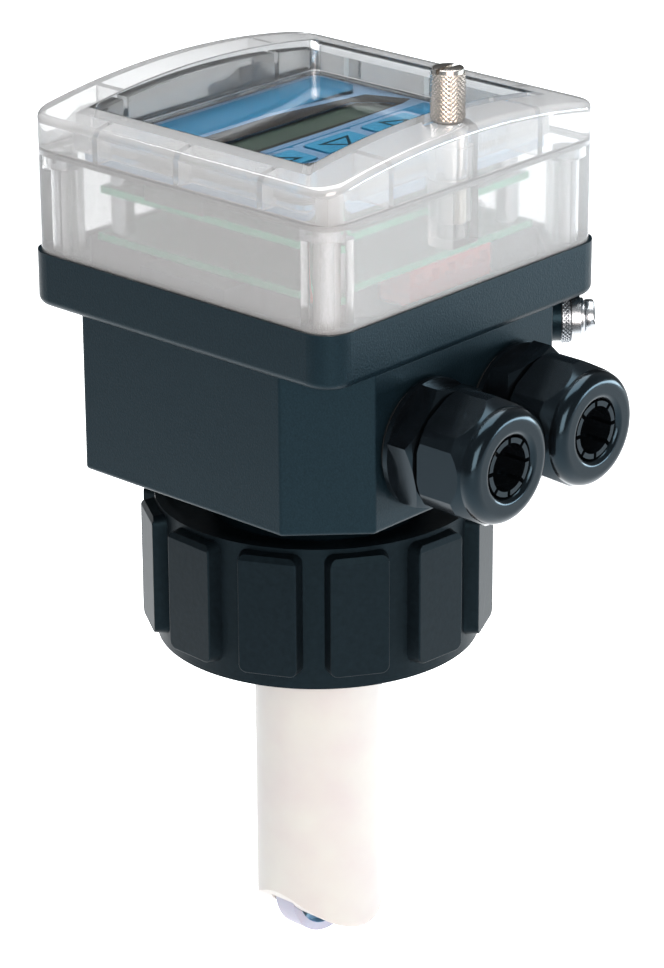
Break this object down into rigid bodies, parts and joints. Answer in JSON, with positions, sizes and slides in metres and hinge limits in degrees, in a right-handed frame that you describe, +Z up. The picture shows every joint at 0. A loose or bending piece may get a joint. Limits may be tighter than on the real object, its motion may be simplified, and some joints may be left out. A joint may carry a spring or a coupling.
{
  "type": "insertion paddle wheel flow meter",
  "caption": "Insertion flow meter: display housing with a clear hinged lid and cable glands on a union nut, over a white sensor stem with a paddle wheel at its end.",
  "frame": {"origin": "on the stem's axis, on the sealing face under the stem's collar", "axes": "+Z up along the stem's axis towards the lid, -Y to the front where the cable glands are, +X to the right, with the earth terminal at the front right corner"},
  "size_m": [0.089, 0.1159, 0.2108],
  "materials": {
    "black_housing": "fine moulded texture",
    "clear_cover": "clear moulded polycarbonate",
    "display_blue": "printed membrane",
    "display_glass": "grey green glass",
    "key_teal": "printed membrane",
    "board_green": "solder mask",
    "terminal_orange": "moulded",
    "knurled_nickel": "nickel plated, knurled",
    "bright_steel": "plain",
    "insert_brass": "plain",
    "seal_rubber": "matt",
    "stem_white": "milky, lightly polished",
    "wheel_white": "milky",
    "axle_ceramic": "ground",
    "gland_nylon": "glossy moulded",
    "cable_grey": "matt"
  },
  "bodies": {
    "housing": {"lower_housing": "black_housing", "frame_gasket": "seal_rubber", "clear_frame": "clear_cover", "lid_gasket": "seal_rubber", "hinge_pins": "bright_steel", "screw_insert": "insert_brass", "frame_screws": "bright_steel", "keypad_panel": "display_blue", "lcd_module": "display_glass", "key_switches": "black_housing", "display_board": "board_green", "main_board": "board_green", "board_spacers": "bright_steel", "terminal_block": "terminal_orange", "sensor_stem": "stem_white", "stem_clip": "bright_steel", "stem_oring": "seal_rubber", "collar_oring": "seal_rubber", "bearings": "axle_ceramic", "sensor_board": "board_green", "sensor_cable": "cable_grey", "earth_nut": "bright_steel", "earth_washer": "bright_steel", "earth_spring_washer": "bright_steel", "earth_screw": "bright_steel", "left_gland_body": "gland_nylon", "left_gland_ring": "seal_rubber", "left_gland_locknut": "gland_nylon", "right_gland_body": "gland_nylon", "right_gland_ring": "seal_rubber", "right_gland_locknut": "gland_nylon"},
    "lid": {"lid": "clear_cover"},
    "screw_clip": {"screw_clip": "bright_steel"},
    "lid_screw": {"lid_screw": "knurled_nickel"},
    "key_left": {"key_left": "key_teal"},
    "key_middle": {"key_middle": "key_teal"},
    "key_right": {"key_right": "key_teal"},
    "union_nut": {"union_nut": "black_housing"},
    "wheel": {"paddle_wheel": "wheel_white", "wheel_magnets": "bright_steel", "axle": "axle_ceramic"},
    "left_gland_insert": {"left_gland_clamp": "gland_nylon", "left_gland_seal": "seal_rubber"},
    "left_gland_nut": {"left_gland_nut": "gland_nylon"},
    "right_gland_insert": {"right_gland_clamp": "gland_nylon", "right_gland_seal": "seal_rubber"},
    "right_gland_nut": {"right_gland_nut": "gland_nylon"}
  },
  "joints": [
    {"name": "lid_hinge", "type": "hinge", "parent": "housing", "child": "lid", "pos_m": [0, 0.0465, 0.0901], "axis": [-1, 0, 0], "range_deg": [0, 110]},
    {"name": "screw_lift", "type": "slide", "parent": "lid", "child": "screw_clip", "axis": [0, 0, 1], "range_m": [0, 0.0056]},
    {"name": "screw_turn", "type": "hinge", "parent": "screw_clip", "child": "lid_screw", "pos_m": [0, -0.037, 0.1], "axis": [0, 0, 1], "range_deg": [0, 1440]},
    {"name": "nut_spin", "type": "hinge", "parent": "housing", "child": "union_nut", "pos_m": [0, 0, 0], "axis": [0, 0, 1], "continuous": true},
    {"name": "wheel_spin", "type": "hinge", "parent": "housing", "child": "wheel", "pos_m": [0, 0, -0.0839], "axis": [0, 1, 0], "continuous": true},
    {"name": "key_left_press", "type": "slide", "parent": "housing", "child": "key_left", "axis": [0, 0, -1], "range_m": [0, 0.0006], "stiffness_N_per_m": 800},
    {"name": "key_middle_press", "type": "slide", "parent": "housing", "child": "key_middle", "axis": [0, 0, -1], "range_m": [0, 0.0006], "stiffness_N_per_m": 800},
    {"name": "key_right_press", "type": "slide", "parent": "housing", "child": "key_right", "axis": [0, 0, -1], "range_m": [0, 0.0006], "stiffness_N_per_m": 800},
    {"name": "left_gland_slide", "type": "slide", "parent": "housing", "child": "left_gland_insert", "axis": [0, -1, 0], "range_m": [0, 0.006]},
    {"name": "left_gland_turn", "type": "hinge", "parent": "left_gland_insert", "child": "left_gland_nut", "pos_m": [-0.0141, -0.055, 0.0388], "axis": [0, -1, 0], "range_deg": [0, 1440]},
    {"name": "right_gland_slide", "type": "slide", "parent": "housing", "child": "right_gland_insert", "axis": [0, -1, 0], "range_m": [0, 0.006]},
    {"name": "right_gland_turn", "type": "hinge", "parent": "right_gland_insert", "child": "right_gland_nut", "pos_m": [0.0141, -0.055, 0.0388], "axis": [0, -1, 0], "range_deg": [0, 1440]}
  ],
  "couplings": [
    {"joint": "screw_turn", "follows": "screw_lift", "rad_per_m": 4488},
    {"joint": "left_gland_turn", "follows": "left_gland_slide", "rad_per_m": 4188.8},
    {"joint": "right_gland_turn", "follows": "right_gland_slide", "rad_per_m": 4188.8}
  ]
}
